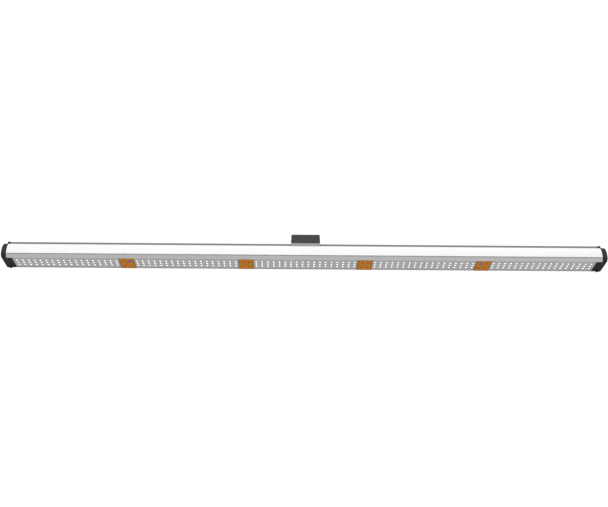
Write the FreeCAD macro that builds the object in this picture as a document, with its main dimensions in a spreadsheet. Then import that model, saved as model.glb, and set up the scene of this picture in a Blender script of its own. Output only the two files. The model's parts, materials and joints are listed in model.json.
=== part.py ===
"""LED grow light bar: a hanging luminaire of the 4-foot class, built piece by piece.

Axes: +X along the bar, -Y to its front, +Z up. Heights in the sheet are measured from the
face of the white LED boards, and every piece is then lowered by hanger_top, so that the origin
is the middle of the hanger's top face, where the lamp is bolted to what carries it.
"""
import FreeCAD, Part
import Sketcher
import math
import os
import re
from FreeCAD import Vector

doc = FreeCAD.newDocument("led_grow_light")
dims = doc.addObject("Spreadsheet::Sheet", "Dims")

DIMENSIONS = [
    # housing section
    ("half_length", 601.5, "outer face of an end cap"),
    ("half_width", 28.4, "side wall of the housing"),
    ("flat_half", 22.4, "half width of the flat underside"),
    ("lip_drop", 1.3, "lips of the base below the white boards"),
    ("chamfer_top", 4.2, "upper edge of the chamfers of the base"),
    ("cover_low", 6.45, "lower edge of the cover"),
    ("side_top", 11.2, "height where the side wall starts to curve"),
    ("side_radius", 25.6, "lower arc of the side"),
    ("side_sweep", 42.8, "angle swept by the lower arc, in degrees"),
    ("shoulder_radius", 13.0, "upper arc of the side"),
    ("cover_wall", 1.8, "wall of the cover"),
    ("groove_depth", 1.2, "depth of the groove between base and cover"),
    ("seal_depth", 0.8, "thickness of the seal strips in that groove"),
    ("floor_low", 1.9, "underside of the base floor, above the boards"),
    ("floor_top", 5.4, "inner face of the base floor"),
    ("tongue_top", 13.0, "top of the base tongue inside the cover"),
    ("tongue_wall", 1.5, "thickness of the tongue"),
    ("tongue_root", 0.5, "small chamfer where the tongue leaves the floor"),
    ("board_half", 21.4, "half width of the LED boards"),
    ("board_thick", 1.6, "LED board"),
    ("pad_inner", 3.6, "inner edge of the thermal pads, clear of the plugs"),
    ("pad_inset", 1.0, "outer edge of the thermal pads inside the edge of a board"),
    ("slip_gap", 0.1, "clearance between parts that slide together"),
    ("thread_bore", 1.5, "radius of the threaded holes of the small screws"),
    ("clear_bore", 1.6, "radius of the clearance holes of the small screws"),
    ("cut_past", 1.0, "how far cuts and joined blocks run past the faces that they meet"),
    # rail, clamp and hanger
    ("rail_low", 32.8, "underside of the rail"),
    ("rail_top", 37.2, "top of the rail"),
    ("rail_foot", 11.2, "half width of the rail where it meets the cover"),
    ("rail_head", 14.65, "half width of the rail at its top"),
    ("rail_end", 589.0, "end of the rail"),
    ("rail_screw_bore", 1.95, "radius of the holes for the rail screws in the cover"),
    ("rail_clear_bore", 2.1, "radius of the holes for them in the rail"),
    ("rail_floor", 34.75, "bottom of the channel along the rail"),
    ("channel_half", 6.2, "half width of that channel"),
    ("stop_end", 594.1, "outer end of a rail stop"),
    ("stop_top", 37.9, "top of a rail stop"),
    ("stop_half", 14.95, "half width of a rail stop"),
    ("stop_tongue", 9.0, "tongue of a rail stop in the channel"),
    ("hanger_top", 58.0, "top face of the hanger saddle"),
    ("hanger_length", 58.1, "hanger along the bar"),
    ("hanger_half", 18.2, "half width of the hanger"),
    ("saddle_low", 37.5, "lower edge of the saddle"),
    ("saddle_wall", 1.7, "wall of the saddle"),
    ("saddle_roof", 2.4, "roof of the saddle"),
    ("saddle_draft", 0.8, "draft of the saddle walls, in degrees"),
    ("saddle_round", 2.8, "rounded edges of the saddle"),
    ("clamp_gap", 0.3, "clearance of the clamp around the rail"),
    ("clamp_half", 16.3, "half width of the block inside the saddle"),
    ("clamp_ledge", 37.45, "ledge that the saddle stands on"),
    ("jaw_edge_low", 31.7, "lower edge of the clamp at its side"),
    ("jaw_foot_half", 14.8, "half width where the jaws turn down along the cover"),
    ("grub_pitch", 18.0, "distance between the clamp screws"),
    ("grub_level", 35.1, "height of the clamp screws"),
    ("saddle_screw_y", 9.0, "saddle screw across the bar"),
    ("saddle_screw_level", 46.8, "height of the saddle screws"),
    ("screw_seat", 0.85, "depth of the seats of the saddle screws at the foot of the walls"),
    ("seat_bore", 3.1, "radius of those seats"),
    ("side_thread", 8.0, "depth of the threaded holes in the clamp for them"),
    ("hanger_pitch", 36.0, "distance between the two hanger bolts"),
    ("hanger_bore", 3.3, "radius of the hanger bolt holes"),
    ("nut_low", 41.3, "underside of the captive hanger nuts"),
    ("nut_high", 46.5, "top of the captive hanger nuts"),
    ("nut_corner", 5.75, "corners of a hanger nut from its axis"),
    ("nut_bore", 2.6, "bore of a hanger nut"),
    ("nut_pocket", 6.0, "radius of the pockets for the nuts"),
    # end caps
    ("cap_rim", 591.3, "inner edge of an end cap"),
    ("cap_floor", 598.5, "inner face of a cap end wall"),
    ("housing_end", 590.7, "end of the housing shells"),
    ("tongue_end", 596.2, "end of the floor tongue of the base, inside the cap"),
    ("end_tongue_half", 20.0, "half width of that floor tongue"),
    ("cap_wall", 1.8, "wall of the cap"),
    ("cap_proud", 0.4, "cap beyond the housing all round"),
    ("cap_round", 3.5, "rounded outer edge of the cap"),
    ("gasket_inset", 0.3, "gasket inside the outline of the housing"),
    ("foot_end", 581.0, "inner end of the foot under the bar"),
    ("foot_drop", 1.5, "foot surface below the white boards"),
    ("foot_half", 21.3, "half width of the foot"),
    ("step_end", 586.6, "inner end of the step on the foot, beyond the last board"),
    ("step_half", 20.9, "half width of that step"),
    ("notch_half", 15.25, "half width of the notch in a cap for the rail stop"),
    ("cap_screw_x", 590.9, "cap screw along the bar"),
    ("cap_screw_y", 17.5, "cap screw across the bar"),
    ("socket_mid", 17.0, "height of the power sockets"),
    ("socket_half_y", 12.0, "half width of a socket body"),
    ("socket_half_z", 8.0, "half height of a socket body"),
    ("socket_wall", 3.0, "wall of a socket"),
    ("socket_flange", 2.0, "height and thickness of the flange of a socket"),
    ("pin_radius", 0.9, "radius of an inlet pin"),
    ("contact_bore", 1.1, "radius of a contact hole of the outlet"),
    ("socket_face", 600.9, "outer face of a socket"),
    ("socket_back", 583.5, "inner end of a socket"),
    ("socket_depth", 12.0, "depth of the inlet"),
    ("pin_tip", 595.9, "tip of the inlet pins"),
    ("pin_pitch", 5.0, "distance between the contacts"),
    # boards and LEDs
    ("led_pitch", 11.55, "distance between LED columns"),
    ("row_pitch", 10.0, "distance between LED rows"),
    ("group_pitch", 237.16, "distance between white boards"),
    ("accent_length", 29.0, "accent board along the bar"),
    ("accent_proud", 0.4, "faces of the accent boards below the lips"),
    ("module_thread", 2.8, "depth of the threaded holes in the base for the module screws"),
    ("board_gap", 0.2, "gap between two boards"),
    ("board_end", 586.0, "outer end of the last boards"),
    ("led_size", 3.4, "LED package"),
    ("led_height", 0.6, "LED package"),
    ("accent_led_x", 5.9, "accent LED from the middle of its board, along the bar"),
    ("accent_led_y", 10.3, "accent LED from the middle of its board, across the bar"),
    ("accent_led_size", 4.6, "accent LED package"),
    ("accent_led_height", 1.4, "accent LED with its dome"),
    ("connector_long", 9.0, "board connector along the bar"),
    ("connector_wide", 6.0, "board connector across the bar"),
    ("connector_top", 6.8, "top of the board connectors"),
    ("plug_shift", 8.4, "accent board connector from the middle of its board"),
    # driver
    ("tray_half_length", 170.0, "half length of the driver tray"),
    ("tray_half", 17.0, "half width of the driver tray"),
    ("tray_flange", 22.5, "outer edge of the tray flanges"),
    ("tray_sheet", 1.0, "sheet of the tray"),
    ("tray_deck", 10.4, "top of the tray deck"),
    ("tray_wall", 14.0, "top of the tray walls"),
    ("driver_half_length", 160.0, "half length of the driver board"),
    ("driver_half_width", 15.0, "half width of the driver board"),
    ("driver_low", 14.4, "underside of the driver board"),
    ("driver_top", 16.0, "top of the driver board"),
    ("fixing_x", 150.0, "tray and driver fixings along the bar"),
    ("flange_screw_y", 19.8, "tray screws across the bar"),
    ("tray_thread", 2.8, "depth of the threaded holes in the base for the tray and earth screws"),
    ("post_y", 11.0, "driver board fixings across the bar"),
    ("sink_top", 27.0, "top of the heatsink and of the terminals"),
    ("sink_start", 70.0, "near end of the heatsink"),
    ("sink_length", 60.0, "heatsink along the bar"),
    ("wire_level", 21.0, "height of the wires where they enter the terminals"),
    ("wire_gap", 0.3, "gap between the end of a wire and the piece that it plugs into"),
    ("led_wire_radius", 0.8, "radius of the wires to the boards"),
    ("mains_wire_radius", 1.0, "radius of the mains wires"),
    ("earth_x", 540.0, "earth screw from the middle, towards the inlet"),
    ("earth_y", 16.0, "earth screw across the bar, in front"),
]

for row, (alias, value, meaning) in enumerate(DIMENSIONS, 1):
    dims.set(f"A{row}", str(value))
    dims.setAlias(f"A{row}", alias)
    dims.set(f"B{row}", meaning)
doc.recompute()

WHITE_BOARDS = 5
LED_COLUMNS = 18
LED_ROWS = 3
SIDES = {"left": -1, "right": 1}
# places along the bar: screws through the rail, the nine boards, and the plug behind each board,
# which stands beside the fixing screw of an accent board
RAIL_SCREWS = ["-500", "-300", "-100", "100", "300", "500"]
BOARD_CENTRES = [f"{step}*group_pitch/2" for step in range(1 - WHITE_BOARDS, WHITE_BOARDS)]
PLUG_CENTRES = [
    centre + (" + plug_shift" if index % 2 else "") for index, centre in enumerate(BOARD_CENTRES)
]
# colour of the accent LEDs, front row then rear row, from left to right
ACCENT_COLOURS = ["rbrr", "rrrr", "rrrr", "brrr"]
# socket-head screws: radius and length of the shank, radius and height of the head, size of the socket
SCREWS = {
    "cap": (1.45, 6.4, 2.9, 2.9, 1.3),
    "rail": (1.9, 6.0, 3.6, 2.2, 1.7),
    "saddle": (1.45, 8.0, 2.9, 1.15, 1.2),
    "module": (1.45, 6.1, 1.9, 0.9, 0.8),
    "tray": (1.45, 3.6, 2.6, 1.9, 1.1),
    "driver": (1.45, 4.4, 2.6, 1.7, 1.1),
    "earth": (1.45, 2.7, 3.0, 2.2, 1.2),
}


# ---------------------------------------------------------------- helpers

def bound(expression):
    """The expression with every sheet alias written out; aliases are the words with an underscore."""
    return re.sub(r"\b[a-z]+(?:_[a-z]+)+\b", lambda found: "Dims." + found.group(0), str(expression))


def number(expression):
    """The present value of an expression on the sheet."""
    return float(dims.evalExpression(str(expression)))


def seat(piece, label):
    """Name a piece and lower it into the part's own frame."""
    piece.Label = label
    piece.setExpression("Placement.Base.z", bound("-hanger_top"))
    return piece


def new_body(label):
    return seat(doc.addObject("PartDesign::Body", label), label)


def new_sketch(body, plane, offset):
    """A sketch on one of the body's origin planes, moved along the plane's normal."""
    sketch = body.newObject("Sketcher::SketchObject", "Sketch")
    origin = [item for item in body.Origin.OriginFeatures if item.Role == plane][0]
    sketch.AttachmentSupport = [(origin, "")]
    sketch.MapMode = "FlatFace"
    sketch.setExpression("AttachmentOffset.Base.z", bound(offset))
    return sketch


def constrain(sketch, kind, *where, value):
    """Add a dimension to the sketch and bind it to the sheet."""
    index = sketch.addConstraint(Sketcher.Constraint(kind, *where, number(value)))
    sketch.setExpression(f"Constraints[{index}]", bound(value))


def draw_outline(sketch, corners):
    """A closed outline through corners (a, b) or (a, b, centre), anticlockwise.

    A centre makes the edge that starts at that corner an arc about it.
    """
    edges = []
    for index, corner in enumerate(corners):
        after = corners[(index + 1) % len(corners)]
        start = Vector(number(corner[0]), number(corner[1]), 0)
        end = Vector(number(after[0]), number(after[1]), 0)
        if len(corner) == 3:
            middle = Vector(number(corner[2][0]), number(corner[2][1]), 0)
            circle = Part.Circle(middle, Vector(0, 0, 1), (start - middle).Length)
            angles = [math.atan2(point.y - middle.y, point.x - middle.x) for point in (start, end)]
            edge = sketch.addGeometry(Part.ArcOfCircle(circle, *angles), False)
        else:
            edge = sketch.addGeometry(Part.LineSegment(start, end), False)
        edges.append(edge)
    for index, edge in enumerate(edges):
        following = edges[(index + 1) % len(edges)]
        sketch.addConstraint(Sketcher.Constraint("Coincident", edge, 2, following, 1))
        constrain(sketch, "DistanceX", -1, 1, edge, 1, value=corners[index][0])
        constrain(sketch, "DistanceY", -1, 1, edge, 1, value=corners[index][1])
        if len(corners[index]) == 3:
            constrain(sketch, "Radius", edge, value=corners[index][2][2])


def draw_circles(sketch, centres, radius):
    for across, up in centres:
        middle = Vector(number(across), number(up), 0)
        circle = sketch.addGeometry(Part.Circle(middle, Vector(0, 0, 1), number(radius)), False)
        constrain(sketch, "DistanceX", -1, 1, circle, 3, value=across)
        constrain(sketch, "DistanceY", -1, 1, circle, 3, value=up)
        constrain(sketch, "Radius", circle, value=radius)


def rectangle(low, high, bottom, top):
    return [(low, bottom), (high, bottom), (high, top), (low, top)]


def mirrored(right_side):
    """The whole outline from its +Y side, listed from bottom to top, with arcs mirrored too."""
    left_side = []
    for index in reversed(range(len(right_side))):
        across, up = right_side[index][:2]
        edge_before = right_side[index - 1] if index else ()
        corner = (f"-({across})", up)
        if len(edge_before) == 3:
            middle = edge_before[2]
            corner += ((f"-({middle[0]})", middle[1], middle[2]),)
        left_side.append(corner)
    return right_side + left_side


def feature(body, kind, outlines, plane, start, length, circles=()):
    """A pad or pocket that runs from start along the plane's normal for length."""
    sketch = new_sketch(body, plane, start)
    for corners in outlines:
        draw_outline(sketch, corners)
    for centres, radius in circles:
        draw_circles(sketch, centres, radius)
    result = body.newObject("PartDesign::" + kind, kind)
    result.Profile = sketch
    result.setExpression("Length", bound(length))
    result.Reversed = kind == "Pocket"
    doc.recompute()
    return result


def pad(body, outlines, plane, start, length, **more):
    return feature(body, "Pad", outlines, plane, start, length, **more)


def pocket(body, outlines, plane, start, length, **more):
    """Cut away material, and stop if the cut meets none."""
    before = body.Shape.Volume
    result = feature(body, "Pocket", outlines, plane, start, length, **more)
    assert body.Shape.Volume < before - 1e-6, f"a pocket in {body.Label} cuts nothing"
    return result


def round_edges(body, base, radius, chosen):
    """Fillet the edges of a feature whose bounding box passes the test."""
    names = []
    for index, edge in enumerate(base.Shape.Edges, 1):
        if chosen(edge.BoundBox):
            names.append(f"Edge{index}")
    rounding = body.newObject("PartDesign::Fillet", "Fillet")
    rounding.Base = (base, names)
    rounding.setExpression("Radius", bound(radius))
    doc.recompute()


def along(side, near, far):
    """Start and length of a stretch that lies between near and far from the middle, on one side."""
    start = near if side > 0 else f"-({far})"
    return start, f"({far}) - ({near})"


def box(label, x_range, y_range, z_range):
    """A box between two expressions on each axis."""
    piece = doc.addObject("Part::Box", label)
    piece.Label = label
    for size, axis, (low, high) in zip(("Length", "Width", "Height"), "xyz", (x_range, y_range, z_range)):
        piece.setExpression(size, bound(f"({high}) - ({low})"))
        drop = " - hanger_top" if axis == "z" else ""
        piece.setExpression("Placement.Base." + axis, bound(f"({low}){drop}"))
    return piece


def group(label, members):
    """Several separate solids as one node."""
    compound = doc.addObject("Part::Compound", label)
    compound.Label = label
    compound.Links = members
    return compound


def solid(label, shapes):
    """A node whose solids are made directly, such as screws, LEDs and wires."""
    piece = doc.addObject("Part::Feature", label)
    piece.Shape = Part.makeCompound(shapes)
    return seat(piece, label)


def hexagon(radius, low, height):
    """A hexagonal prism that stands on the height low."""
    turns = [math.radians(60 * step) for step in range(7)]
    corners = [Vector(radius * math.cos(turn), radius * math.sin(turn), low) for turn in turns]
    return Part.Face(Part.makePolygon(corners)).extrude(Vector(0, 0, height))


def screw(kind, place, head_towards):
    """A socket screw: place is under its head, which points along head_towards."""
    shank, length, head, height, socket = SCREWS[kind]
    crown = Part.makeCylinder(head, height)
    rim = [edge for edge in crown.Edges if abs(edge.BoundBox.ZMin - height) < 1e-6]
    crown = crown.makeFillet(height * 0.3, rim)
    body = Part.makeCylinder(shank, length, Vector(0, 0, -length))
    shape = crown.fuse(body).removeSplitter().cut(hexagon(socket, 0.4 * height, 0.6 * height))
    shape.Placement = FreeCAD.Placement(place, FreeCAD.Rotation(Vector(0, 0, 1), head_towards))
    return shape


def wire(points, radius, bend):
    """A round wire along straight runs joined by tangent arcs."""
    edges = []
    last = points[0]
    for before, corner, after in zip(points, points[1:], points[2:]):
        incoming = (corner - before).normalize()
        outgoing = (after - corner).normalize()
        turn = incoming.getAngle(outgoing)
        cut = bend * math.tan(turn / 2)
        first = corner - incoming * cut
        second = corner + outgoing * cut
        bisector = (outgoing - incoming).normalize()
        middle = corner + bisector * (bend / math.cos(turn / 2) - bend)
        edges.append(Part.LineSegment(last, first).toShape())
        edges.append(Part.Arc(first, middle, second).toShape())
        last = second
    edges.append(Part.LineSegment(last, points[-1]).toShape())
    start = (points[1] - points[0]).normalize()
    ring = Part.Wire([Part.makeCircle(radius, points[0], start)])
    return Part.Wire(edges).makePipeShell([ring], True, False)


# ---------------------------------------------------------------- the housing's side curve

def side_curve(offset):
    """The curved side from the side wall to the top, moved outward by offset."""
    low_middle = ("half_width - side_radius", "side_top")
    reach = "(side_radius - shoulder_radius)"
    high_middle = (f"{low_middle[0]} + {reach}*cos(side_sweep)", f"side_top + {reach}*sin(side_sweep)")
    low_radius = f"side_radius + ({offset})"
    high_radius = f"shoulder_radius + ({offset})"
    joint = (
        f"{low_middle[0]} + ({low_radius})*cos(side_sweep)",
        f"side_top + ({low_radius})*sin(side_sweep)",
    )
    return [
        (f"half_width + ({offset})", "side_top", (*low_middle, low_radius)),
        (*joint, (*high_middle, high_radius)),
        (high_middle[0], f"{high_middle[1]} + {high_radius}"),
    ]


def housing_outline(offset, bottom):
    """The outline of the end caps: the bar's outside, moved outward by offset, from bottom up.

    The chamfer under each side wall stands at 45 degrees here, a little steeper than on the base.
    """
    chamfer_foot = f"flat_half + lip_drop + ({offset})*sqrt(2)"
    return mirrored([
        (f"{chamfer_foot} + ({bottom})", bottom),
        (f"half_width + ({offset})", f"half_width + ({offset}) - ({chamfer_foot})"),
        *side_curve(offset),
    ])


# ---------------------------------------------------------------- casing

def make_housing():
    """Two shells, the cover over the tongues of the base, with a seal strip along each seam."""
    length = "2*housing_end"
    cover = new_body("housing_cover")
    outer = [("half_width", "cover_low")] + side_curve("0")
    inner = [("half_width - cover_wall", "cover_low")] + side_curve("-cover_wall")
    pad(cover, [mirrored(outer)], "YZ_Plane", "-housing_end", length)
    pocket(cover, [mirrored(inner)], "YZ_Plane", "-housing_end", length)
    screw_spots = [(spot, "0") for spot in RAIL_SCREWS]
    pocket(cover, [], "XY_Plane", "rail_low - 4", "6", circles=[(screw_spots, "rail_screw_bore")])

    base = new_body("housing_base")
    tongue = "half_width - cover_wall - slip_gap"
    section = mirrored([
        ("board_half + slip_gap", "floor_low"),
        ("board_half + slip_gap", "-lip_drop"),
        ("flat_half", "-lip_drop"),
        ("half_width", "chamfer_top"),
        ("half_width - groove_depth", "chamfer_top"),
        ("half_width - groove_depth", "cover_low"),
        (tongue, "cover_low"),
        (tongue, "tongue_top"),
        (f"{tongue} - tongue_wall", "tongue_top"),
        (f"{tongue} - tongue_wall", "floor_top + tongue_root"),
        (f"{tongue} - tongue_wall - tongue_root", "floor_top"),
    ])
    pad(base, [section], "YZ_Plane", "-housing_end", length)
    end_tongue = rectangle("-end_tongue_half", "end_tongue_half", "floor_low", "floor_top")
    for side in SIDES.values():
        pad(base, [end_tongue], "YZ_Plane", *along(side, "housing_end - cut_past", "tongue_end"))
    half_long = "(connector_long/2 + slip_gap)"
    half_wide = "connector_wide/2 + slip_gap"
    openings = []
    for spot in PLUG_CENTRES:
        openings.append(
            rectangle(f"{spot} - {half_long}", f"{spot} + {half_long}", f"-({half_wide})", half_wide)
        )
    pocket(base, openings, "XY_Plane", "floor_low - cut_past", "floor_top - floor_low + 2*cut_past")
    tray_holes = [(f"{x}*fixing_x", f"{y}*flange_screw_y") for x in (-1, 1) for y in (-1, 1)]
    tray_holes.append(("-earth_x", "-earth_y"))
    threads = [(tray_holes, "thread_bore")]
    pocket(base, [], "XY_Plane", "floor_top - tray_thread", "tray_thread + 0.2", circles=threads)
    cap_holes = [(f"{x}*cap_screw_x", f"{y}*cap_screw_y") for x in (-1, 1) for y in (-1, 1)]
    threads = [(cap_holes, "thread_bore")]
    pocket(base, [], "XY_Plane", "floor_low - 0.1", "floor_top - floor_low + 0.2", circles=threads)
    module_holes = [(spot, "0") for spot in BOARD_CENTRES[1::2]]
    threads = [(module_holes, "thread_bore")]
    pocket(base, [], "XY_Plane", "floor_low - 0.1", "module_thread + 0.1", circles=threads)

    inner = "half_width - groove_depth"
    outer = f"{inner} + seal_depth"
    strips = []
    for across in ((inner, outer), (f"-({outer})", f"-({inner})")):
        strips.append(box("strip", ("-housing_end", "housing_end"), across, ("chamfer_top", "cover_low")))
    group("seam_seals", strips)


def make_end_cap(name, side):
    """A hollow cap against the end of the housing, with a foot under the bar and a socket opening."""
    cap = new_body("end_cap_" + name)
    outline = housing_outline("cap_proud", "-foot_drop")
    block = pad(cap, [outline], "YZ_Plane", *along(side, "cap_rim", "half_length"))
    outer_face = number("half_length") - 0.1
    round_edges(cap, block, "cap_round", lambda bounds: side * (bounds.XMin + bounds.XMax) / 2 > outer_face)
    hollow = housing_outline("-cap_wall", "floor_low - slip_gap")
    pocket(cap, [hollow], "YZ_Plane", *along(side, "cap_rim", "cap_floor"))
    foot = rectangle("-foot_half", "foot_half", "-foot_drop", "-slip_gap")
    pad(cap, [foot], "YZ_Plane", *along(side, "foot_end", "cap_rim + cut_past"))
    filler = rectangle("-step_half", "step_half", "-slip_gap", "floor_low - slip_gap")
    pad(cap, [filler], "YZ_Plane", *along(side, "step_end", "cap_rim + cut_past"))
    notch = rectangle("-notch_half", "notch_half", "rail_low - slip_gap", "rail_low + 4")
    pocket(cap, [notch], "YZ_Plane", *along(side, "cap_rim", "stop_end + 2*slip_gap"))
    opening = rectangle(
        "-socket_half_y - slip_gap", "socket_half_y + slip_gap",
        "socket_mid - socket_half_z - slip_gap", "socket_mid + socket_half_z + slip_gap",
    )
    pocket(cap, [opening], "YZ_Plane", *along(side, "cap_floor - cut_past", "half_length + cut_past"))
    holes = [(f"{side}*cap_screw_x", "-cap_screw_y"), (f"{side}*cap_screw_x", "cap_screw_y")]
    pocket(cap, [], "XY_Plane", "-foot_drop - cut_past", "6", circles=[(holes, "clear_bore")])

    gasket = new_body("cap_gasket_" + name)
    outer = housing_outline("-gasket_inset", "-slip_gap")
    inner = housing_outline("-cap_wall", "floor_top")
    reach = along(side, "housing_end", "cap_rim")
    pad(gasket, [outer], "YZ_Plane", *reach)
    pocket(gasket, [inner], "YZ_Plane", *reach)
    recess = rectangle("-foot_half", "foot_half", "-cut_past", "floor_top + slip_gap")
    pocket(gasket, [recess], "YZ_Plane", *reach)

    shapes = []
    for row in (-1, 1):
        place = Vector(side * number("cap_screw_x"), row * number("cap_screw_y"), -number("foot_drop"))
        shapes.append(screw("cap", place, Vector(0, 0, -1)))
    solid("cap_screws_" + name, shapes)


def make_socket(label, side, pins):
    """A panel socket in an end cap: an inlet with pins, or an outlet with contact holes."""
    body = new_body(label)
    block = rectangle(
        "-socket_half_y", "socket_half_y", "socket_mid - socket_half_z", "socket_mid + socket_half_z"
    )
    pad(body, [block], "YZ_Plane", *along(side, "socket_back", "socket_face"))
    flange = rectangle(
        "-socket_half_y - socket_flange", "socket_half_y + socket_flange",
        "socket_mid - socket_half_z - socket_flange", "socket_mid + socket_half_z + socket_flange",
    )
    pad(body, [flange], "YZ_Plane", *along(side, "cap_floor - socket_flange", "cap_floor"))
    mouth = rectangle(
        "socket_wall - socket_half_y", "socket_half_y - socket_wall",
        "socket_mid - socket_half_z + socket_wall", "socket_mid + socket_half_z - socket_wall",
    )
    depth = "socket_depth" if pins else "socket_face - pin_tip"
    pocket(body, [mouth], "YZ_Plane", *along(side, f"socket_face - ({depth})", "socket_face + cut_past"))
    contacts = [(f"{step}*pin_pitch", "socket_mid") for step in (-1, 0, 1)]
    bore = "pin_radius" if pins else "contact_bore"
    reach = along(side, "socket_back - cut_past", "pin_tip + cut_past")
    pocket(body, [], "YZ_Plane", *reach, circles=[(contacts, bore)])


def make_pins():
    """Three contact pins through the back of the inlet."""
    pins = []
    for step in (-1, 0, 1):
        pin = doc.addObject("Part::Cylinder", "pin")
        pin.setExpression("Radius", bound("pin_radius"))
        pin.setExpression("Height", bound("pin_tip - socket_back - 2*slip_gap"))
        pin.Placement.Rotation = FreeCAD.Rotation(Vector(0, 1, 0), 90)
        pin.setExpression("Placement.Base.x", bound("-pin_tip"))
        pin.setExpression("Placement.Base.y", bound(f"{step}*pin_pitch"))
        pin.setExpression("Placement.Base.z", bound("socket_mid - hanger_top"))
        pins.append(pin)
    group("inlet_pins", pins)


# ---------------------------------------------------------------- rail, clamp and hanger

def make_rail():
    """The dovetail rail on top of the cover, its screws and its end stops."""
    rail = new_body("top_rail")
    section = mirrored([
        ("rail_foot", "rail_low"),
        ("rail_head", "rail_top"),
        ("channel_half", "rail_top"),
        ("channel_half", "rail_floor"),
    ])
    pad(rail, [section], "YZ_Plane", "-rail_end", "2*rail_end")
    screw_spots = [(spot, "0") for spot in RAIL_SCREWS]
    pocket(rail, [], "XY_Plane", "rail_low - cut_past", "4", circles=[(screw_spots, "rail_clear_bore")])
    shapes = []
    for spot in RAIL_SCREWS:
        place = Vector(number(spot), 0, number("rail_floor"))
        shapes.append(screw("rail", place, Vector(0, 0, 1)))
    solid("rail_screws", shapes)
    for name, side in SIDES.items():
        stop = new_body("rail_stop_" + name)
        block = rectangle("-stop_half", "stop_half", "rail_low", "stop_top")
        pad(stop, [block], "YZ_Plane", *along(side, "rail_end + slip_gap", "stop_end"))
        tongue = rectangle(
            "2*slip_gap - channel_half", "channel_half - 2*slip_gap",
            "rail_floor + slip_gap", "rail_top - slip_gap",
        )
        pad(stop, [tongue], "YZ_Plane", *along(side, "rail_end - stop_tongue", "rail_end + cut_past"))


def make_clamp():
    """The dovetail clamp that slides on the rail, with the block inside the saddle."""
    clamp = new_body("clamp_base")
    lean = "((rail_head - rail_foot)/(rail_top - rail_low))"
    gap_across = f"(clamp_gap*sqrt(1 + {lean}^2))"

    def inner_face(height):
        return (f"rail_foot + {gap_across} + {lean}*({height} - rail_low)", height)

    under_bridge = inner_face("(rail_top + clamp_gap)")
    jaw_tip = inner_face("(rail_low + clamp_gap)")
    jaw_foot = ("jaw_foot_half", "rail_low + 2*slip_gap")
    jaw_edge = ("hanger_half", "jaw_edge_low")
    block_half = "hanger_length/2 - saddle_wall - 2*slip_gap"
    section = mirrored([
        under_bridge, jaw_tip, jaw_foot, jaw_edge, ("hanger_half", "clamp_ledge"),
        ("clamp_half", "clamp_ledge"), ("clamp_half", "hanger_top - saddle_roof"),
    ])
    pad(clamp, [section], "YZ_Plane", f"-({block_half})", f"2*({block_half})")
    jaw = [jaw_tip, jaw_foot, jaw_edge, ("hanger_half", "clamp_ledge"), inner_face("clamp_ledge")]
    other_jaw = [(f"-({across})", up) for across, up in reversed(jaw)]
    pad(clamp, [jaw, other_jaw], "YZ_Plane", "-hanger_length/2", "hanger_length")
    bolts = [("-hanger_pitch/2", "0"), ("hanger_pitch/2", "0")]
    pocket(clamp, [], "XY_Plane", "nut_high", "20", circles=[(bolts, "hanger_bore")])
    pocket(clamp, [], "XY_Plane", "rail_top", "nut_high - rail_top", circles=[(bolts, "nut_pocket")])
    side_bores = [("-saddle_screw_y", "saddle_screw_level"), ("saddle_screw_y", "saddle_screw_level")]
    for side in SIDES.values():
        reach = along(side, f"{block_half} - side_thread", f"{block_half} + cut_past")
        pocket(clamp, [], "YZ_Plane", *reach, circles=[(side_bores, "thread_bore")])
    set_bores = [(f"{step}*grub_pitch", "grub_level") for step in (-1, 0, 1)]
    pocket(clamp, [], "XZ_Plane", "-hanger_half - cut_past", "7", circles=[(set_bores, "thread_bore")])

    shapes = []
    tip, grub_radius, grub_length = 14.3, 1.45, 3.7
    socket_radius, socket_start = 0.8, 2.3
    back = Vector(0, 1, 0)
    for step in (-1, 0, 1):
        place = Vector(step * number("grub_pitch"), tip, number("grub_level"))
        grub = Part.makeCylinder(grub_radius, grub_length, place, back)
        socket = Part.makeCylinder(socket_radius, grub_length, place + back * socket_start, back)
        shapes.append(grub.cut(socket))
    solid("clamp_screws", shapes)

    shapes = []
    for end in (-1, 1):
        nut = hexagon(number("nut_corner"), number("nut_low"), number("nut_high - nut_low"))
        nut = nut.cut(Part.makeCylinder(number("nut_bore"), number("hanger_top")))
        shapes.append(nut.translated(Vector(end * number("hanger_pitch") / 2, 0, 0)))
    solid("hanger_nuts", shapes)


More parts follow.
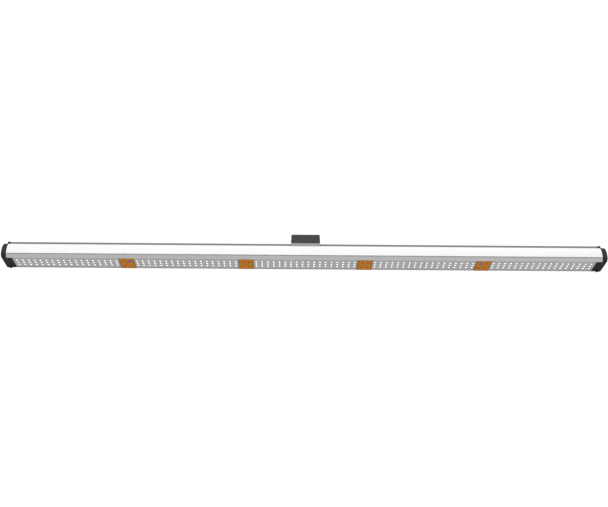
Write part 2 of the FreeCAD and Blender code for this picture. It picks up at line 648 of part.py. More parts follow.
def make_saddle():
    """The dark hollow hanger that is bolted to the ceiling strut."""
    saddle = new_body("hanger_saddle")
    plan = rectangle("-hanger_length/2", "hanger_length/2", "-hanger_half", "hanger_half")
    block = pad(saddle, [plan], "XY_Plane", "saddle_low", "hanger_top - saddle_low")
    block.setExpression("TaperAngle", bound("-saddle_draft"))
    doc.recompute()
    saddle_low = number("saddle_low")
    round_edges(saddle, block, "saddle_round", lambda bounds: bounds.ZMax > saddle_low + 1)
    hollow = rectangle(
        "saddle_wall - hanger_length/2", "hanger_length/2 - saddle_wall",
        "saddle_wall - hanger_half", "hanger_half - saddle_wall",
    )
    depth = "hanger_top - saddle_roof - saddle_low + cut_past"
    pocket(saddle, [hollow], "XY_Plane", "saddle_low - cut_past", depth)
    bolts = [("-hanger_pitch/2", "0"), ("hanger_pitch/2", "0")]
    bores = [(bolts, "hanger_bore")]
    pocket(
        saddle, [], "XY_Plane", "hanger_top - saddle_roof - cut_past",
        "saddle_roof + 2*cut_past", circles=bores,
    )
    spots = [("-saddle_screw_y", "saddle_screw_level"), ("saddle_screw_y", "saddle_screw_level")]
    for side in SIDES.values():
        seat_reach = along(side, "hanger_length/2 - screw_seat", "hanger_length/2 + cut_past")
        pocket(saddle, [], "YZ_Plane", *seat_reach, circles=[(spots, "seat_bore")])
        hole_reach = along(side, "hanger_length/2 - saddle_wall - cut_past", "hanger_length/2")
        pocket(saddle, [], "YZ_Plane", *hole_reach, circles=[(spots, "clear_bore")])
    shapes = []
    for side in SIDES.values():
        for row in (-1, 1):
            reach = side * number("hanger_length/2 - screw_seat")
            place = Vector(reach, row * number("saddle_screw_y"), number("saddle_screw_level"))
            shapes.append(screw("saddle", place, Vector(side, 0, 0)))
    solid("saddle_screws", shapes)


# ---------------------------------------------------------------- boards and LEDs

def make_boards():
    """Nine boards under the floor: white, accent, white and so on, each on thermal pads.

    The accent boards are thicker, and their faces cover the lips of the base.
    """
    pads = []
    pad_heights = ("board_thick", "floor_low")
    accent_screws = []
    for index, centre in enumerate(BOARD_CENTRES):
        is_white = index % 2 == 0
        half = "(group_pitch - accent_length)/2 - board_gap" if is_white else "accent_length/2"
        low = "-board_end" if index == 0 else f"{centre} - ({half})"
        high = "board_end" if index == len(BOARD_CENTRES) - 1 else f"{centre} + ({half})"
        label = f"led_board_{index // 2 + 1}" if is_white else f"accent_board_{index // 2 + 1}"
        across = ("-board_half", "board_half")
        if is_white:
            box(label, (low, high), across, ("0", "board_thick"))
        else:
            board = new_body(label)
            pad(board, [rectangle(low, high, *across)], "XY_Plane", "-lip_drop", "board_thick + lip_drop")
            face = rectangle(low, high, "-flat_half", "flat_half")
            pad(board, [face], "XY_Plane", "-lip_drop - accent_proud", "accent_proud")
            hole = [([(centre, "0")], "clear_bore")]
            depth = "board_thick + lip_drop + 2*cut_past"
            pocket(board, [], "XY_Plane", "-lip_drop - cut_past", depth, circles=hole)
            place = Vector(number(centre), 0, -number("lip_drop + accent_proud"))
            accent_screws.append(screw("module", place, Vector(0, 0, -1)))
        pads.append(box("pad", (low, high), ("pad_inset - board_half", "-pad_inner"), pad_heights))
        pads.append(box("pad", (low, high), ("pad_inner", "board_half - pad_inset"), pad_heights))
    group("thermal_pads", pads)
    solid("module_screws", accent_screws)


def make_leds():
    """The white LEDs in rows and columns, and four red or blue ones on each accent board."""
    size = number("led_size")
    height = number("led_height")
    for board in range(WHITE_BOARDS):
        shapes = []
        middle = number(BOARD_CENTRES[2 * board])
        for column in range(LED_COLUMNS):
            for row in range(LED_ROWS):
                x = middle + (column - (LED_COLUMNS - 1) / 2) * number("led_pitch")
                y = (row - (LED_ROWS - 1) / 2) * number("row_pitch")
                shapes.append(Part.makeBox(size, size, height, Vector(x - size / 2, y - size / 2, -height)))
        solid(f"white_leds_{board + 1}", shapes)
    coloured = {"r": [], "b": []}
    half = number("accent_led_size") / 2
    dome_height = number("accent_led_height")
    face = -number("lip_drop + accent_proud")
    for board, colours in enumerate(ACCENT_COLOURS):
        middle = number(BOARD_CENTRES[2 * board + 1])
        for index, colour in enumerate(colours):
            x = middle + (1 if index % 2 else -1) * number("accent_led_x")
            y = (1 if index // 2 else -1) * number("accent_led_y")
            corner = Vector(x - half, y - half, face - dome_height)
            coloured[colour].append(Part.makeBox(2 * half, 2 * half, dome_height, corner))
    solid("red_leds", coloured["r"])
    solid("blue_leds", coloured["b"])


def make_connectors():
    """A plug through the floor behind each board, and the two supply wires above them."""
    plugs = []
    for centre in PLUG_CENTRES:
        plugs.append(box("plug", (f"{centre} - connector_long/2", f"{centre} + connector_long/2"),
                         ("-connector_wide/2", "connector_wide/2"), ("board_thick", "connector_top")))
    group("board_connectors", plugs)
    reach = number(BOARD_CENTRES[-1])
    radius = number("led_wire_radius")
    height = number("connector_top + led_wire_radius + slip_gap")
    level = number("wire_level")
    shapes = []
    for side in (-1, 1):
        bus = side * 1.3
        shapes.append(wire([Vector(-reach, bus, height), Vector(reach, bus, height)], radius, 1))
        lane = side * 3.1
        feeder = [
            Vector(number("driver_half_length + wire_gap"), lane, level), Vector(182, lane, level),
            Vector(205, lane, height), Vector(240, lane, height),
        ]
        shapes.append(wire(feeder, radius, 8))
    solid("led_wires", shapes)


# ---------------------------------------------------------------- driver

def make_driver():
    """The power supply on its tray in the middle of the housing."""
    tray = new_body("driver_tray")
    section = mirrored([
        ("tray_half - tray_sheet", "tray_deck - tray_sheet"),
        ("tray_half - tray_sheet", "floor_top"),
        ("tray_flange", "floor_top"),
        ("tray_flange", "floor_top + tray_sheet"),
        ("tray_half", "floor_top + tray_sheet"),
        ("tray_half", "tray_wall"),
        ("tray_half - tray_sheet", "tray_wall"),
        ("tray_half - tray_sheet", "tray_deck"),
    ])
    pad(tray, [section], "YZ_Plane", "-tray_half_length", "2*tray_half_length")
    flange_holes = [(f"{x}*fixing_x", f"{y}*flange_screw_y") for x in (-1, 1) for y in (-1, 1)]
    bores = [(flange_holes, "clear_bore")]
    pocket(tray, [], "XY_Plane", "floor_top - cut_past", "tray_sheet + 2*cut_past", circles=bores)

    board = new_body("driver_board")
    plan = rectangle("-driver_half_length", "driver_half_length", "-driver_half_width", "driver_half_width")
    pad(board, [plan], "XY_Plane", "driver_low", "driver_top - driver_low")
    post_spots = [(f"{x}*fixing_x", f"{y}*post_y") for x in (-1, 1) for y in (-1, 1)]
    pocket(board, [], "XY_Plane", "driver_low - cut_past", "4", circles=[(post_spots, "clear_bore")])

    tray_screws = []
    posts = []
    board_screws = []
    for x in (-1, 1):
        for y in (-1, 1):
            spot = x * number("fixing_x")
            place = Vector(spot, y * number("flange_screw_y"), number("floor_top + tray_sheet"))
            tray_screws.append(screw("tray", place, Vector(0, 0, 1)))
            foot = Vector(spot, y * number("post_y"), number("tray_deck"))
            post = Part.makeCylinder(2.6, number("driver_low - tray_deck"), foot)
            posts.append(post.cut(Part.makeCylinder(1.5, 9, foot)))
            place = Vector(spot, y * number("post_y"), number("driver_top"))
            board_screws.append(screw("driver", place, Vector(0, 0, 1)))
    solid("tray_screws", tray_screws)
    solid("board_standoffs", posts)
    solid("driver_screws", board_screws)
    make_driver_parts(number("driver_top"))


def make_driver_parts(top):
    """What stands on the driver board: transformer, capacitors, choke, heatsink and terminals."""
    core_start, core_length, core_width, core_height = 26, 28, 24, 10
    window = 7
    leg = 4
    core = Part.makeBox(core_length, core_width, core_height, Vector(core_start, -core_width / 2, top + 2.2))
    for across in (leg / 2, -leg / 2 - window):
        cut = Part.makeBox(core_length - 2 * leg, window, core_height + 2,
                           Vector(core_start + leg, across, top + 1))
        core = core.cut(cut)
    solid("transformer_core", [core])
    coil_length = core_length - 2 * leg - 0.4
    coil_width = leg + 2 * window - 0.4
    coil_height = core_height + 3.6
    coil_start = core_start + leg + 0.2
    corner = Vector(coil_start, -coil_width / 2, top + 0.1)
    winding = Part.makeBox(coil_length, coil_width, coil_height, corner)
    slot = Part.makeBox(core_length - leg, leg + 0.2, core_height + 0.2,
                        Vector(core_start + 2, -leg / 2 - 0.1, top + 2.1))
    solid("transformer_winding", [winding.cut(slot)])

    cans = []
    can_radius, can_length = 6, 22
    for start in (-92, -66, -40):
        place = Vector(start, -6.5, top + can_radius + 0.1)
        can = Part.makeCylinder(can_radius, can_length, place, Vector(1, 0, 0))
        cans.append(can.makeFillet(0.8, can.Edges))
    solid("driver_capacitors", cans)
    ring_radius, wire_radius = 6.5, 3.1
    place = Vector(-122, 0, top + wire_radius + 0.1)
    solid("driver_choke", [Part.makeTorus(ring_radius, wire_radius, place)])

    sink = new_body("driver_heatsink")
    fins, fin_pitch, fin_wall, fin_start = 4, 3.1, 1.3, 4
    far_side = fin_start + (fins - 1) * fin_pitch + fin_wall
    comb = [(str(fin_start), "driver_top + 0.1"), (str(far_side), "driver_top + 0.1")]
    for step in reversed(range(fins)):
        left = fin_start + fin_pitch * step
        comb += [(f"{left} + {fin_wall}", "sink_top"), (str(left), "sink_top")]
        if step:
            next_fin = left - fin_pitch + fin_wall
            comb += [(str(left), "driver_top + 2.1"), (str(next_fin), "driver_top + 2.1")]
    pad(sink, [comb], "YZ_Plane", "sink_start", "sink_length")
    packages = [Part.makeBox(10, 4.4, 13, Vector(start, -0.6, top + 0.1)) for start in (78, 108)]
    solid("driver_transistors", packages)
    terminals = []
    for low, high in (("-driver_half_length", "10 - driver_half_length"),
                      ("driver_half_length - 10", "driver_half_length")):
        terminals.append(box("terminal", (low, high), ("-8.2", "8.2"), ("driver_top", "sink_top")))
    group("driver_terminals", terminals)


def make_mains():
    """Mains wires from the inlet to the driver, and through to the outlet at the other end."""
    start = number("wire_gap - socket_back")
    finish = number("socket_back - wire_gap")
    terminal = number("driver_half_length + wire_gap")
    middle = number("socket_mid")
    level = number("wire_level")
    above, below = middle + 2.2, middle - 2.2
    duct_to_driver, duct_through = 12, 10.6
    radius = number("mains_wire_radius")
    bend = 12
    to_driver = []
    through = []
    for step in (-1, 0, 1):
        y = step * number("pin_pitch")
        to_driver.append(wire([
            Vector(start, y, above), Vector(-540, y, above), Vector(-500, y, duct_to_driver),
            Vector(-230, y, duct_to_driver), Vector(-200, y, level),
            Vector(-terminal, y, level),
        ], radius, bend))
        lane = 20.4 + 2.2 * step
        through.append(wire([
            Vector(start, y, below), Vector(-545, y, below), Vector(-500, lane, duct_through),
            Vector(500, lane, duct_through), Vector(545, y, middle), Vector(finish, y, middle),
        ], radius, bend))
    solid("mains_wires", to_driver)
    solid("link_wires", through)
    place = Vector(-number("earth_x"), -number("earth_y"), number("floor_top"))
    solid("earth_screw", [screw("earth", place, Vector(0, 0, 1))])


# ---------------------------------------------------------------- build, test and export

make_housing()
for cap_name, cap_side in SIDES.items():
    make_end_cap(cap_name, cap_side)
make_socket("power_inlet", SIDES["left"], pins=True)
make_socket("link_socket", SIDES["right"], pins=False)
make_pins()
make_rail()
make_clamp()
make_saddle()
make_boards()
make_leds()
make_connectors()
make_driver()
make_mains()
doc.recompute()

inside = {child for item in doc.Objects for child in item.OutList}
pieces = []
for item in doc.Objects:
    if {"Invalid", "Error"} & set(item.State):
        raise RuntimeError(f"{item.Label} failed: {item.State}")
    is_node = item.TypeId in ("PartDesign::Body", "Part::Box", "Part::Compound", "Part::Feature")
    if is_node and item not in inside:
        pieces.append(item)

os.makedirs("parts", exist_ok=True)
for piece in pieces:
    if piece.Shape.isNull() or not piece.Shape.isValid():
        raise RuntimeError(f"{piece.Label} has no valid shape")
    piece.Shape.exportStep(f"parts/{piece.Label}.step")
print(len(pieces), "nodes")
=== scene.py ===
"""The looks of the hanging LED grow light bar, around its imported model.

Lengths are in metres in the model's own frame: +X along the bar, -Y to its front, +Z up, and the
origin in the middle of the hanger's top face.
"""

import json
import math

import bmesh
import bpy
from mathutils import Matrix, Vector


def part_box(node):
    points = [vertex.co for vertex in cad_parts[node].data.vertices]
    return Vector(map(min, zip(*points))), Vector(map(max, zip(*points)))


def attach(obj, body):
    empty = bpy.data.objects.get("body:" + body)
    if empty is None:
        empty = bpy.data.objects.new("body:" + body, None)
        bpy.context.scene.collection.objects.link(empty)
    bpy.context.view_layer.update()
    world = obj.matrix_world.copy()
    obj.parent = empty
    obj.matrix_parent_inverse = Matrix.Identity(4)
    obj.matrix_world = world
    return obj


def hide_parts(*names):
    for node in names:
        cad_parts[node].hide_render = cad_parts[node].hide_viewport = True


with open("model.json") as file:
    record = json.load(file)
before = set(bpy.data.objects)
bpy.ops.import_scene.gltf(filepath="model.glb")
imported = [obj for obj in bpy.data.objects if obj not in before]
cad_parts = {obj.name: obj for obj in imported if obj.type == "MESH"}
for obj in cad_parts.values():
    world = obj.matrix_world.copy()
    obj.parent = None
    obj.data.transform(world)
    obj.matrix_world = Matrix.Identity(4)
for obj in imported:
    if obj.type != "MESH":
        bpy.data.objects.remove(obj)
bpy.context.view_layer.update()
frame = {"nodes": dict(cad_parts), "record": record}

MM = 0.001


# ---------------------------------------------------------------- camera, light and stage

# the camera stands low in front of the bar and looks up at it, turned a little to the right
CAMERA_PLACE = Vector((-0.0328, -1.7460, -0.8862))
CAMERA_PITCH = math.radians(26.0)
CAMERA_YAW = math.radians(-0.98)
CAMERA_LENS = 57.14
# a wide round floor far below the hanging bar, and the strength of the white surroundings
FLOOR_DEPTH = 3.0
FLOOR_RADIUS = 60.0
FLOOR_POINTS = 96
FLOOR_TONE = (0.42, 0.42, 0.42)
BACKDROP_STRENGTH = 1.05
LIT_MIDDLE = Vector((0, 0, -0.04))
# place, width, height and power of the area lights, all turned towards the middle of the bar
LIGHTS = {
    "key": ((-0.6, -2.6, 1.2), 3.0, 1.6, 40),
    "fill": ((1.4, -2.2, -0.2), 1.6, 1.6, 12),
    "back": ((0.4, 2.4, 1.6), 2.4, 1.6, 40),
}


def make_camera():
    data = bpy.data.cameras.new("camera")
    data.lens = CAMERA_LENS
    data.clip_end = 2 * FLOOR_RADIUS
    camera = bpy.data.objects.new("camera", data)
    camera.location = CAMERA_PLACE
    camera.rotation_euler = (math.pi / 2 + CAMERA_PITCH, 0, CAMERA_YAW)
    bpy.context.scene.collection.objects.link(camera)
    bpy.context.scene.camera = camera


def area_light(name, place, width, height, power):
    data = bpy.data.lights.new(name, "AREA")
    data.shape = "RECTANGLE"
    data.size = width
    data.size_y = height
    data.energy = power
    light = bpy.data.objects.new(name, data)
    light.location = place
    direction = LIT_MIDDLE - Vector(place)
    light.rotation_euler = direction.to_track_quat("-Z", "Y").to_euler()
    bpy.context.scene.collection.objects.link(light)


def make_stage():
    """White surroundings, a pale floor far below the bar, and soft area lights around it."""
    scene = bpy.context.scene
    scene.view_settings.view_transform = "Standard"
    world = bpy.data.worlds.new("studio")
    scene.world = world
    world.use_nodes = True
    background = world.node_tree.nodes["Background"]
    background.inputs["Color"].default_value = (1, 1, 1, 1)
    background.inputs["Strength"].default_value = BACKDROP_STRENGTH

    mesh = bpy.data.meshes.new("floor")
    rim = circle((0, 0), FLOOR_RADIUS, -FLOOR_DEPTH, FLOOR_POINTS)
    mesh.from_pydata(rim, [], [tuple(range(len(rim)))])
    floor = bpy.data.objects.new("floor", mesh)
    scene.collection.objects.link(floor)
    paint = NodeMaterial("floor_paint")
    paint.set(Roughness=0.8)
    paint.colour_from(paint.mottled(paint.noise(3.0), FLOOR_TONE, 0.03, 0.3))
    mesh.materials.append(paint.material)

    for name, setting in LIGHTS.items():
        area_light(name, *setting)


# ---------------------------------------------------------------- materials

class NodeMaterial:
    """A procedural material: its principled shader and short ways to feed it.

    Its patterns lie in object coordinates, so the scale of a noise is its patches in a metre.
    """

    def __init__(self, name):
        self.material = bpy.data.materials.new(name)
        self.material.use_nodes = True
        self.tree = self.material.node_tree
        self.shader = self.tree.nodes["Principled BSDF"]
        self.where = self.add("ShaderNodeTexCoord").outputs["Object"]

    def add(self, kind, **settings):
        node = self.tree.nodes.new(kind)
        for key, value in settings.items():
            setattr(node, key, value)
        return node

    def link(self, source, target):
        self.tree.links.new(source, target)

    def stretched(self, scale):
        """Object coordinates scaled along each axis."""
        node = self.add("ShaderNodeMapping")
        node.inputs["Scale"].default_value = scale
        self.link(self.where, node.inputs["Vector"])
        return node.outputs["Vector"]

    def noise(self, scale, detail=3.0, where=None):
        node = self.add("ShaderNodeTexNoise")
        node.inputs["Scale"].default_value = scale
        node.inputs["Detail"].default_value = detail
        self.link(where or self.where, node.inputs["Vector"])
        return node.outputs["Fac"]

    def mottled(self, factor, colour, spread, margin=0.35):
        """The colour, a little darker where the factor is low and a little lighter where it is high."""
        node = self.add("ShaderNodeValToRGB")
        dark, light = node.color_ramp.elements
        dark.position = margin
        dark.color = (*[part * (1 - spread) for part in colour], 1)
        light.position = 1 - margin
        light.color = (*[min(1.0, part * (1 + spread)) for part in colour], 1)
        self.link(factor, node.inputs["Fac"])
        return node.outputs["Color"]

    def level(self, factor, low, high):
        """The factor moved from 0..1 to low..high."""
        node = self.add("ShaderNodeMapRange")
        node.inputs["To Min"].default_value = low
        node.inputs["To Max"].default_value = high
        self.link(factor, node.inputs["Value"])
        return node.outputs["Result"]

    def mix(self, factor, output, colour):
        """The output where the factor is 0, and the plain colour where it is 1."""
        node = self.add("ShaderNodeMix", data_type="RGBA")
        self.link(factor, node.inputs["Factor"])
        self.link(output, node.inputs["A"])
        node.inputs["B"].default_value = (*colour, 1)
        return node.outputs["Result"]

    def math(self, operation, one, other):
        node = self.add("ShaderNodeMath", operation=operation)
        for socket, value in zip(node.inputs, (one, other)):
            if isinstance(value, (int, float)):
                socket.default_value = value
            else:
                self.link(value, socket)
        return node.outputs["Value"]

    def colour_from(self, output):
        self.link(output, self.shader.inputs["Base Color"])

    def roughness_from(self, output):
        self.link(output, self.shader.inputs["Roughness"])

    def bump(self, height, depth, strength):
        node = self.add("ShaderNodeBump")
        node.inputs["Distance"].default_value = depth
        node.inputs["Strength"].default_value = strength
        self.link(height, node.inputs["Height"])
        self.link(node.outputs["Normal"], self.shader.inputs["Normal"])

    def set(self, **values):
        for name, value in values.items():
            self.shader.inputs[name.replace("_", " ")].default_value = value


def powder_coat(name, colour, rough, grain, gloss=0.5):
    """Sprayed powder: orange-peel relief, slight mottling and small changes of gloss."""
    paint = NodeMaterial(name)
    paint.set(Specular_IOR_Level=gloss)
    paint.colour_from(paint.mottled(paint.noise(14.0, 2.0), colour, 0.015))
    paint.roughness_from(paint.level(paint.noise(60.0), rough - 0.05, rough + 0.05))
    paint.bump(paint.noise(grain, 4.0), 0.06 * MM, 0.35)
    return paint.material


def extruded(name, colour, rough, metallic):
    """Extruded or rolled metal: faint lines along the bar and soft clouding."""
    metal = NodeMaterial(name)
    metal.set(Metallic=metallic)
    lines = metal.noise(1.0, 4.0, metal.stretched((1.5, 1400.0, 1400.0)))
    metal.colour_from(metal.mottled(lines, colour, 0.05, 0.3))
    clouds = metal.noise(1.0, where=metal.stretched((4.0, 500.0, 500.0)))
    metal.roughness_from(metal.level(clouds, rough - 0.06, rough + 0.08))
    metal.bump(lines, 0.02 * MM, 0.4)
    return metal.material


def moulded(name, colour, rough, grain=1500.0, gloss=0.5):
    """Moulded plastic or rubber with a fine spark-eroded texture."""
    plastic = NodeMaterial(name)
    plastic.set(Specular_IOR_Level=gloss)
    plastic.colour_from(plastic.mottled(plastic.noise(40.0), colour, 0.12))
    plastic.roughness_from(plastic.level(plastic.noise(grain / 4), rough - 0.05, rough + 0.06))
    plastic.bump(plastic.noise(grain), 0.05 * MM, 0.4)
    return plastic.material


def turned(name, colour, rough):
    """Plated, blackened or tinned metal, finely brushed, a little duller in patches."""
    metal = NodeMaterial(name)
    metal.set(Metallic=1.0)
    metal.colour_from(metal.mottled(metal.noise(300.0), colour, 0.08, 0.3))
    metal.roughness_from(metal.level(metal.noise(900.0, 4.0), rough - 0.06, rough + 0.10))
    metal.bump(metal.noise(2500.0, 2.0), 0.01 * MM, 0.3)
    return metal.material


# width of a copper area on the boards, with the gap to the next
TRACE_PITCH = 4.925 * MM
TRACE_GAP = 0.35 * MM


def solder_mask(name, colour, gap_tint, trace_length, coat=0.25, gloss=0.5, relief=0.6):
    """Solder mask with copper areas that show through as faint bands and steps at their gaps."""
    mask = NodeMaterial(name)
    mask.set(Coat_Weight=coat, Coat_Roughness=0.2, Specular_IOR_Level=gloss)
    bricks = mask.add("ShaderNodeTexBrick")
    bricks.inputs["Scale"].default_value = 1.0
    bricks.inputs["Brick Width"].default_value = trace_length
    bricks.inputs["Row Height"].default_value = TRACE_PITCH
    bricks.inputs["Mortar Size"].default_value = TRACE_GAP
    bricks.inputs["Mortar Smooth"].default_value = 0.3
    bricks.offset = 0.5
    mask.link(mask.where, bricks.inputs["Vector"])
    areas = mask.mottled(mask.noise(25.0), colour, 0.015)
    mask.colour_from(mask.mix(bricks.outputs["Fac"], areas, gap_tint))
    mask.roughness_from(mask.level(mask.noise(400.0), 0.28, 0.40))
    copper = mask.math("SUBTRACT", 1.0, bricks.outputs["Fac"])
    grain = mask.math("MULTIPLY", mask.noise(1200.0), 0.15)
    mask.bump(mask.math("ADD", copper, grain), 0.04 * MM, relief)
    return mask.material


def window(name, colour, glow, strength, coat=0.5, gloss=0.5):
    """The lit window of an LED: resin with a fine phosphor grain."""
    resin = NodeMaterial(name)
    resin.set(Specular_IOR_Level=gloss, Coat_Weight=coat, Coat_Roughness=0.08)
    resin.set(Emission_Color=(*glow, 1), Emission_Strength=strength)
    grain = resin.noise(3500.0, 2.0)
    resin.colour_from(resin.mottled(grain, colour, 0.05, 0.3))
    resin.roughness_from(resin.level(grain, 0.22, 0.34))
    return resin.material


def wound(name, colour):
    """Enamelled wire laid in close turns."""
    wire = NodeMaterial(name)
    wire.set(Metallic=0.6)
    turns = wire.add("ShaderNodeTexWave", wave_type="BANDS", bands_direction="Z")
    turns.inputs["Scale"].default_value = 500.0
    turns.inputs["Distortion"].default_value = 0.6
    wire.link(wire.where, turns.inputs["Vector"])
    wire.colour_from(wire.mottled(turns.outputs["Fac"], colour, 0.3, 0.2))
    wire.roughness_from(wire.level(wire.noise(200.0), 0.3, 0.45))
    wire.bump(turns.outputs["Fac"], 0.1 * MM, 0.7)
    return wire.material


# one material for each slot of the record
MATERIALS = {
    "cover_white": powder_coat("white_powder", (0.70, 0.70, 0.703), 0.38, 1400.0),
    "base_shell": extruded("pale_shell", (0.59, 0.59, 0.595), 0.45, 0.1),
    "rail_grey": extruded("grey_rail", (0.25, 0.25, 0.252), 0.45, 0.2),
    "clamp_grey": extruded("grey_clamp", (0.215, 0.215, 0.217), 0.45, 0.2),
    # the seal between cover and base is a real piece, but its dark grey is partly painted shade: it darkens
    # the seam to stand in for the shadow line along it
    "seal_grey": moulded("grey_seal_with_painted_shade", (0.22, 0.22, 0.222), 0.7, gloss=0.3),
    "saddle_dark": powder_coat("dark_powder", (0.016, 0.016, 0.0165), 0.62, 1600.0, gloss=0.42),
    "cap_black": moulded("black_nylon", (0.025, 0.025, 0.026), 0.55, gloss=0.1),
    "gasket_rubber": moulded("black_rubber", (0.02, 0.02, 0.02), 0.8),
    "black_screws": turned("black_oxide", (0.05, 0.05, 0.052), 0.35),
    "steel_screws": turned("zinc_plate", (0.45, 0.45, 0.46), 0.30),
    "bronze_screws": turned("bronzed_steel", (0.50, 0.36, 0.09), 0.45),
    "board_white": solder_mask("white_mask", (0.675, 0.675, 0.685), (0.65, 0.652, 0.662), 23.1 * MM),
    "led_white": moulded("led_body_white", (0.90, 0.90, 0.89), 0.35),
    "board_amber": solder_mask("amber_mask", (0.72, 0.31, 0.006), (0.70, 0.295, 0.005), 14.5 * MM,
                               coat=0.0, gloss=0.12, relief=0.15),
    "led_red": window("red_window", (0.68, 0.008, 0.005), (1.0, 0.0, 0.004), 0.3, coat=0.05, gloss=0.2),
    "led_blue": window("blue_window", (0.08, 0.005, 0.40), (0.10, 0.0, 0.60), 0.4, coat=0.05, gloss=0.2),
    "thermal_pad": moulded("blue_grey_pad", (0.30, 0.40, 0.50), 0.8),
    "connector_white": moulded("ivory_nylon", (0.80, 0.78, 0.72), 0.4),
    "tray_steel": extruded("zinc_sheet", (0.55, 0.56, 0.57), 0.35, 1.0),
    "driver_green": solder_mask("green_mask", (0.03, 0.20, 0.08), (0.05, 0.28, 0.12), 12.0 * MM),
    "ferrite": moulded("ferrite", (0.06, 0.06, 0.065), 0.6),
    "copper_winding": wound("copper_wire", (0.62, 0.28, 0.12)),
    "capacitor_sleeve": moulded("navy_sleeve", (0.03, 0.04, 0.10), 0.3),
    "heatsink_aluminium": extruded("mill_aluminium", (0.65, 0.65, 0.66), 0.35, 1.0),
    "chip_black": moulded("epoxy", (0.02, 0.02, 0.02), 0.5),
    "terminal_green": moulded("green_nylon", (0.05, 0.30, 0.12), 0.4),
    "pin_brass": turned("tinned_brass", (0.75, 0.62, 0.38), 0.25),
    "mains_wire": moulded("brown_pvc", (0.25, 0.12, 0.05), 0.35),
    "led_wire": moulded("red_pvc", (0.60, 0.04, 0.03), 0.35),
}
# the other materials of the pieces that are built here
EXTRA = {
    "phosphor": window("phosphor", (0.93, 0.92, 0.80), (1.0, 0.99, 0.95), 1.6),
    "solder": turned("solder", (0.72, 0.72, 0.73), 0.28),
    "amber_edge": moulded("amber_edge", (0.52, 0.19, 0.004), 0.5, gloss=0.12),
}


def paint_nodes():
    """Give every CAD node the material of its slot."""
    for entry in frame["record"]["subparts"]:
        node = frame["nodes"][entry["node"]]
        node.data.materials.clear()
        node.data.materials.append(MATERIALS[entry["material_slot"]])


# ---------------------------------------------------------------- LEDs and their modules

# white boards along the bar, and the amber modules between them
BOARD_COUNT = 5
MODULE_COUNT = BOARD_COUNT - 1
# vertices closer than this are one vertex
WELD = 0.001 * MM
# steps round a corner of an LED or module, and the points of a whole ring, square or round
CORNER_STEPS = 3
RING_POINTS = 4 * (CORNER_STEPS + 1)


class Builder:
    """Collects faces with material indices into one mesh."""

    def __init__(self):
        self.mesh = bmesh.new()

    def ring(self, points):
        return [self.mesh.verts.new(point) for point in points]

    def bridge(self, lower, upper, index, smooth=False):
        count = len(lower)
        for step in range(count):
            after = (step + 1) % count
            face = self.mesh.faces.new((lower[step], lower[after], upper[after], upper[step]))
            face.material_index = index
            face.smooth = smooth

    def cap(self, ring, index):
        face = self.mesh.faces.new(ring)
        face.material_index = index

    def piece(self, name, materials):
        bmesh.ops.recalc_face_normals(self.mesh, faces=self.mesh.faces)
        data = bpy.data.meshes.new(name)
        self.mesh.to_mesh(data)
        self.mesh.free()
        for material in materials:
            data.materials.append(material)
        item = bpy.data.objects.new(name, data)
        bpy.context.scene.collection.objects.link(item)
        return item


def rounded_rectangle(centre, half_x, half_y, corner, height):
    """Points of a rectangle with rounded corners, at one height."""
    points = []
    for quarter in range(4):
        turn = math.pi / 2 * quarter
        middle_x = centre[0] + (half_x - corner) * (1 if quarter in (0, 3) else -1)
        middle_y = centre[1] + (half_y - corner) * (1 if quarter in (0, 1) else -1)
        for step in range(CORNER_STEPS + 1):
            angle = turn + math.pi / 2 * step / CORNER_STEPS
            points.append((middle_x + corner * math.cos(angle), middle_y + corner * math.sin(angle), height))
    return points


def rounded_square(centre, half, corner, height):
    return rounded_rectangle(centre, half, half, corner, height)


def circle(centre, radius, height, count):
    """Evenly spaced points of a circle, at one height."""
    points = []
    for step in range(count):
        angle = 2 * math.pi * step / count
        points.append((centre[0] + radius * math.cos(angle), centre[1] + radius * math.sin(angle), height))
    return points


def add_white_led(builder, centre, face, size, tall):
    """A square package: bevelled body, sunk rim, slightly domed phosphor window and two solder joints."""
    half = size / 2
    corner = 0.15 * MM
    window_corner = 0.5 * MM
    rim = face - 0.9 * tall
    # half width, corner radius and height of each ring, from the board outward
    body = [
        (half, corner, face),
        (half, corner, face - 0.7 * tall),
        (half - 0.08 * MM, 0.12 * MM, rim),
        (half - 0.32 * MM, window_corner, rim),
    ]
    dome = [
        (half - 0.40 * MM, window_corner, face - 0.80 * tall),
        (half - 0.75 * MM, window_corner, face - 0.97 * tall),
    ]
    rings = [builder.ring(rounded_square(centre, *level)) for level in body]
    for lower, upper in zip(rings, rings[1:]):
        builder.bridge(lower, upper, 0)
    for level in dome:
        ring = builder.ring(rounded_square(centre, *level))
        builder.bridge(rings[-1], ring, 1, smooth=True)
        rings.append(ring)
    builder.cap(rings[-1], 1)
    joint_corner = 0.1 * MM
    for side in (-1, 1):
        middle = (centre[0] + side * (half + 0.05 * MM), centre[1])
        base = builder.ring(rounded_square(middle, 0.28 * MM, joint_corner, face))
        top = builder.ring(rounded_square(middle, 0.16 * MM, joint_corner, face - 0.35 * tall))
        builder.bridge(base, top, 2)
        builder.cap(top, 2)


def add_dome_led(builder, centre, face, size, tall):
    """A coloured LED: square base with a round domed lens, in one material."""
    half = size / 2
    corner = 0.3 * MM
    shoulder = face - 0.4 * tall
    base = [(half, corner, face), (half, corner, face - 0.3 * tall), (half - 0.1 * MM, corner, shoulder)]
    rings = [builder.ring(rounded_square(centre, *level)) for level in base]
    for lower, upper in zip(rings, rings[1:]):
        builder.bridge(lower, upper, 0)
    radius = half - 0.12 * MM
    rise = 0.58 * tall
    dome_steps = 4
    previous = rings[-1]
    for step in range(dome_steps):
        angle = math.pi / 2 * step / dome_steps
        height = shoulder - rise * math.sin(angle)
        ring = builder.ring(circle(centre, radius * math.cos(angle), height, RING_POINTS))
        builder.bridge(previous, ring, 0, smooth=step > 0)
        previous = ring
    builder.cap(previous, 0)


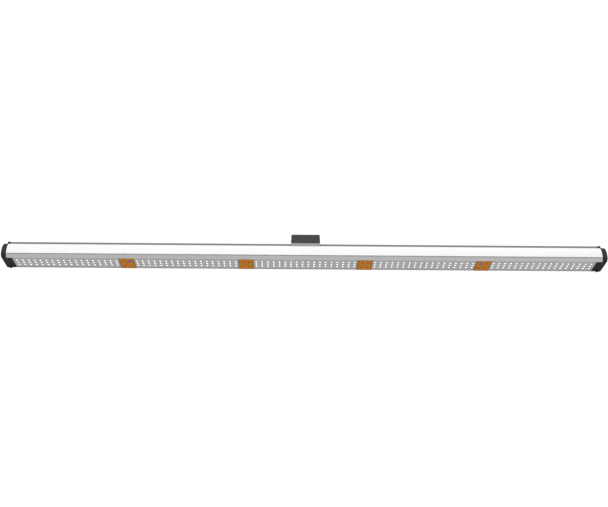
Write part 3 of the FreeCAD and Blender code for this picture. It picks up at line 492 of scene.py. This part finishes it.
def make_accent_plates():
    """The amber modules: a board between the lips, and a face over them with a darker border."""
    corner = 0.5 * MM
    bevel = 0.15 * MM
    border = 2.0 * MM
    groove_depth = 0.12 * MM
    groove_width = 0.3 * MM
    panel = border + groove_width
    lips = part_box("housing_base")[0].z
    between_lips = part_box("led_board_1")[1].y
    for module in range(1, MODULE_COUNT + 1):
        node = f"accent_board_{module}"
        low, high = (Vector(place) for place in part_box(node))
        middle = (low + high) / 2
        half = (high - low) / 2
        inside = half.y - between_lips
        # inset along and across the bar, height, and material of the band that ends there
        levels = [
            (0.0, inside, high.z, 1),
            (0.0, inside, lips, 1),
            (0.0, 0.0, lips, 1),
            (0.0, 0.0, low.z + bevel, 1),
            (bevel, bevel, low.z, 1),
            (border, border, low.z, 1),
            (border, border, low.z + groove_depth, 1),
            (panel, panel, low.z + groove_depth, 1),
            (panel, panel, low.z, 0),
        ]
        builder = Builder()
        rings = []
        for inset_x, inset_y, height, index in levels:
            points = rounded_rectangle(middle, half.x - inset_x, half.y - inset_y, corner, height)
            rings.append(builder.ring(points))
            if len(rings) > 1:
                builder.bridge(rings[-2], rings[-1], index)
        builder.cap(rings[0], 1)
        builder.cap(rings[-1], 0)
        plate = builder.piece(f"accent_plate_{module}", [MATERIALS["board_amber"], EXTRA["amber_edge"]])
        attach(plate, "lamp")
        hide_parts(node)


def solids_of(node):
    """The box of each separate solid of a CAD node, as (low, high), from left to right."""
    mesh = bmesh.new()
    mesh.from_mesh(frame["nodes"][node].data)
    bmesh.ops.remove_doubles(mesh, verts=mesh.verts, dist=WELD)
    seen = set()
    boxes = []
    for start in mesh.verts:
        if start.index in seen:
            continue
        island = [start]
        seen.add(start.index)
        for vertex in island:
            for edge in vertex.link_edges:
                other = edge.other_vert(vertex)
                if other.index not in seen:
                    seen.add(other.index)
                    island.append(other)
        spots = [vertex.co for vertex in island]
        low = Vector([min(spot[axis] for spot in spots) for axis in range(3)])
        high = Vector([max(spot[axis] for spot in spots) for axis in range(3)])
        boxes.append((low, high))
    mesh.free()
    return sorted(boxes, key=lambda box: (round(box[0].x, 4), round(box[0].y, 4)))


def make_leds():
    """The white LEDs of each board and the coloured ones, each in the place of its CAD block."""
    for board in range(1, BOARD_COUNT + 1):
        node = f"white_leds_{board}"
        builder = Builder()
        for low, high in solids_of(node):
            add_white_led(builder, (low + high) / 2, high.z, high.x - low.x, high.z - low.z)
        materials = [MATERIALS["led_white"], EXTRA["phosphor"], EXTRA["solder"]]
        leds = builder.piece(f"led_array_{board}", materials)
        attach(leds, "lamp")
        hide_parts(node)
    for colour in ("red", "blue"):
        builder = Builder()
        for low, high in solids_of(f"{colour}_leds"):
            add_dome_led(builder, (low + high) / 2, high.z, high.x - low.x, high.z - low.z)
        slot = f"led_{colour}"
        leds = builder.piece(f"{colour}_domes", [MATERIALS[slot]])
        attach(leds, "lamp")
        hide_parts(f"{colour}_leds")


make_camera()
make_stage()
paint_nodes()
make_accent_plates()
make_leds()
